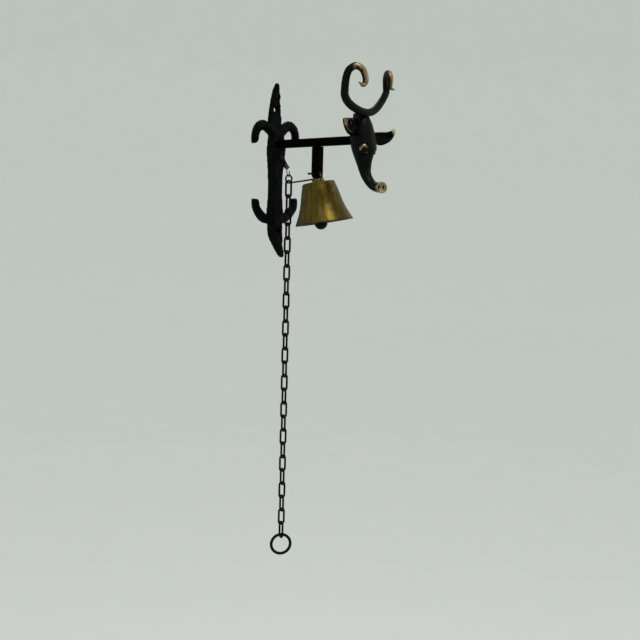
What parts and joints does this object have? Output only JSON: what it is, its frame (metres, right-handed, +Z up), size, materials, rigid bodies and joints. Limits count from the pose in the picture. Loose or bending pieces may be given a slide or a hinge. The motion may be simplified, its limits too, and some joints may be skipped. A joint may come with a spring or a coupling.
{
  "type": "wall mounted bell",
  "caption": "Wall bracket with a horned animal head, holding a small flared bell that swings on a pin, with a return spring and a pull chain ending in a ring.",
  "frame": {"origin": "on the wall, midway between the two wall-screw holes", "axes": "+Z up, +Y into the wall, the arm reaches out along -Y, X across"},
  "size_m": [0.0768, 0.1352, 0.4786],
  "materials": {
    "black_plate": "blackened, hammered casting with worn high spots",
    "black_bar": "blackened bar, satin",
    "black_head": "blackened smooth casting, brass showing at the worn edges",
    "horn_black": "blackened, fine lengthwise grain, brass tips",
    "bell_brass": "aged satin brass, lengthwise streaks",
    "yoke_brass": "dark aged brass",
    "wire_brass": "dark tarnished wire",
    "black_steel": "blackened steel",
    "chain_steel": "blackened steel wire",
    "spring_steel": "dull drawn steel wire"
  },
  "bodies": {
    "bracket": {"wall_plate": "black_plate", "arm_bar": "black_bar", "drop_post": "black_bar", "head": "black_head", "horns": "horn_black", "ear_left": "black_head", "ear_right": "black_head", "spring_lug": "black_steel", "pivot_pin": "black_steel", "return_spring": "spring_steel"},
    "bell": {"bell_shell": "bell_brass", "bell_yoke": "yoke_brass", "lever_wire": "wire_brass", "clapper_staple": "wire_brass"},
    "clapper": {"clapper_rod": "black_steel", "clapper_ball": "black_steel"},
    "link_01": {"chain_link_01": "chain_steel"},
    "link_02": {"chain_link_02": "chain_steel"},
    "link_03": {"chain_link_03": "chain_steel"},
    "link_04": {"chain_link_04": "chain_steel"},
    "link_05": {"chain_link_05": "chain_steel"},
    "link_06": {"chain_link_06": "chain_steel"},
    "link_07": {"chain_link_07": "chain_steel"},
    "link_08": {"chain_link_08": "chain_steel"},
    "link_09": {"chain_link_09": "chain_steel"},
    "link_10": {"chain_link_10": "chain_steel"},
    "link_11": {"chain_link_11": "chain_steel"},
    "link_12": {"chain_link_12": "chain_steel"},
    "link_13": {"chain_link_13": "chain_steel"},
    "link_14": {"chain_link_14": "chain_steel"},
    "link_15": {"chain_link_15": "chain_steel"},
    "link_16": {"chain_link_16": "chain_steel"},
    "link_17": {"chain_link_17": "chain_steel"},
    "link_18": {"chain_link_18": "chain_steel"},
    "link_19": {"chain_link_19": "chain_steel"},
    "link_20": {"chain_link_20": "chain_steel"},
    "link_21": {"chain_link_21": "chain_steel"},
    "link_22": {"chain_link_22": "chain_steel"},
    "link_23": {"chain_link_23": "chain_steel"},
    "link_24": {"chain_link_24": "chain_steel"},
    "link_25": {"chain_link_25": "chain_steel"},
    "link_26": {"chain_link_26": "chain_steel"},
    "ring": {"pull_ring": "chain_steel"}
  },
  "joints": [
    {"name": "bell_swing", "type": "hinge", "parent": "bracket", "child": "bell", "pos_m": [0, -0.0574, -0.0019], "axis": [-1, 0, 0], "range_deg": [-14, 24], "stiffness_Nm_per_rad": 0.02, "springref_deg": -10.89, "deforming": ["return_spring"]},
    {"name": "clapper_swing", "type": "hinge", "parent": "bell", "child": "clapper", "pos_m": [0.00092, -0.06046, -0.0186], "axis": [-1, 0, 0], "range_deg": [-22, 34]},
    {"name": "link_01_hang", "type": "hinge", "parent": "bell", "child": "link_01", "pos_m": [0, -0.0219, -0.0077], "axis": [-1, 0, 0], "range_deg": [-25, 15]},
    {"name": "link_02_hang", "type": "hinge", "parent": "link_01", "child": "link_02", "pos_m": [0, -0.0219, -0.0252], "axis": [-0.9511, 0.309, 0], "range_deg": [-1.5, 10]},
    {"name": "link_03_hang", "type": "hinge", "parent": "link_02", "child": "link_03", "pos_m": [0, -0.0219, -0.0387], "axis": [-0.309, -0.9511, 0], "range_deg": [-10, 10]},
    {"name": "link_04_hang", "type": "hinge", "parent": "link_03", "child": "link_04", "pos_m": [0, -0.0219, -0.0522], "axis": [0.9511, -0.309, 0], "range_deg": [-10, 2.2]},
    {"name": "link_05_hang", "type": "hinge", "parent": "link_04", "child": "link_05", "pos_m": [0, -0.0219, -0.0657], "axis": [0.309, 0.9511, 0], "range_deg": [-10, 10]},
    {"name": "link_06_hang", "type": "hinge", "parent": "link_05", "child": "link_06", "pos_m": [0, -0.0219, -0.0792], "axis": [-0.9511, 0.309, 0], "range_deg": [-2.6, 10]},
    {"name": "link_07_hang", "type": "hinge", "parent": "link_06", "child": "link_07", "pos_m": [0, -0.0219, -0.0927], "axis": [-0.309, -0.9511, 0], "range_deg": [-10, 10]},
    {"name": "link_08_hang", "type": "hinge", "parent": "link_07", "child": "link_08", "pos_m": [0, -0.0219, -0.1062], "axis": [0.9511, -0.309, 0], "range_deg": [-10, 2.9]},
    {"name": "link_09_hang", "type": "hinge", "parent": "link_08", "child": "link_09", "pos_m": [0, -0.0219, -0.1197], "axis": [0.309, 0.9511, 0], "range_deg": [-10, 10]},
    {"name": "link_10_hang", "type": "hinge", "parent": "link_09", "child": "link_10", "pos_m": [0, -0.0219, -0.1332], "axis": [-0.9511, 0.309, 0], "range_deg": [-3.2, 10]},
    {"name": "link_11_hang", "type": "hinge", "parent": "link_10", "child": "link_11", "pos_m": [0, -0.0219, -0.1467], "axis": [-0.309, -0.9511, 0], "range_deg": [-10, 10]},
    {"name": "link_12_hang", "type": "hinge", "parent": "link_11", "child": "link_12", "pos_m": [0, -0.0219, -0.1602], "axis": [0.9511, -0.309, 0], "range_deg": [-10, 3.5]},
    {"name": "link_13_hang", "type": "hinge", "parent": "link_12", "child": "link_13", "pos_m": [0, -0.0219, -0.1737], "axis": [0.309, 0.9511, 0], "range_deg": [-10, 10]},
    {"name": "link_14_hang", "type": "hinge", "parent": "link_13", "child": "link_14", "pos_m": [0, -0.0219, -0.1872], "axis": [-0.9511, 0.309, 0], "range_deg": [-4, 10]},
    {"name": "link_15_hang", "type": "hinge", "parent": "link_14", "child": "link_15", "pos_m": [0, -0.0219, -0.2007], "axis": [-0.309, -0.9511, 0], "range_deg": [-10, 10]},
    {"name": "link_16_hang", "type": "hinge", "parent": "link_15", "child": "link_16", "pos_m": [0, -0.0219, -0.2142], "axis": [0.9511, -0.309, 0], "range_deg": [-10, 4.7]},
    {"name": "link_17_hang", "type": "hinge", "parent": "link_16", "child": "link_17", "pos_m": [0, -0.0219, -0.2277], "axis": [0.309, 0.9511, 0], "range_deg": [-10, 10]},
    {"name": "link_18_hang", "type": "hinge", "parent": "link_17", "child": "link_18", "pos_m": [0, -0.0219, -0.2412], "axis": [-0.9511, 0.309, 0], "range_deg": [-5.6, 10]},
    {"name": "link_19_hang", "type": "hinge", "parent": "link_18", "child": "link_19", "pos_m": [0, -0.0219, -0.2547], "axis": [-0.309, -0.9511, 0], "range_deg": [-10, 10]},
    {"name": "link_20_hang", "type": "hinge", "parent": "link_19", "child": "link_20", "pos_m": [0, -0.0219, -0.2682], "axis": [0.9511, -0.309, 0], "range_deg": [-16, 6.9]},
    {"name": "link_21_hang", "type": "hinge", "parent": "link_20", "child": "link_21", "pos_m": [0, -0.0219, -0.2817], "axis": [0.309, 0.9511, 0], "range_deg": [-16, 16]},
    {"name": "link_22_hang", "type": "hinge", "parent": "link_21", "child": "link_22", "pos_m": [0, -0.0219, -0.2952], "axis": [-0.9511, 0.309, 0], "range_deg": [-9.1, 16]},
    {"name": "link_23_hang", "type": "hinge", "parent": "link_22", "child": "link_23", "pos_m": [0, -0.0219, -0.3087], "axis": [-0.309, -0.9511, 0], "range_deg": [-16, 16]},
    {"name": "link_24_hang", "type": "hinge", "parent": "link_23", "child": "link_24", "pos_m": [0, -0.0219, -0.3222], "axis": [0.9511, -0.309, 0], "range_deg": [-25, 13.1]},
    {"name": "link_25_hang", "type": "hinge", "parent": "link_24", "child": "link_25", "pos_m": [0, -0.0219, -0.3357], "axis": [0.309, 0.9511, 0], "range_deg": [-25, 25]},
    {"name": "link_26_hang", "type": "hinge", "parent": "link_25", "child": "link_26", "pos_m": [0, -0.0219, -0.3492], "axis": [-0.9511, 0.309, 0], "range_deg": [-23.3, 25]},
    {"name": "pull_ring_hang", "type": "hinge", "parent": "link_26", "child": "ring", "pos_m": [0, -0.0219, -0.3627], "axis": [-0.309, -0.9511, 0], "range_deg": [-20, 20]}
  ],
  "couplings": [
    {"joint": "link_01_hang", "follows": "bell_swing", "ratio": -1}
  ]
}
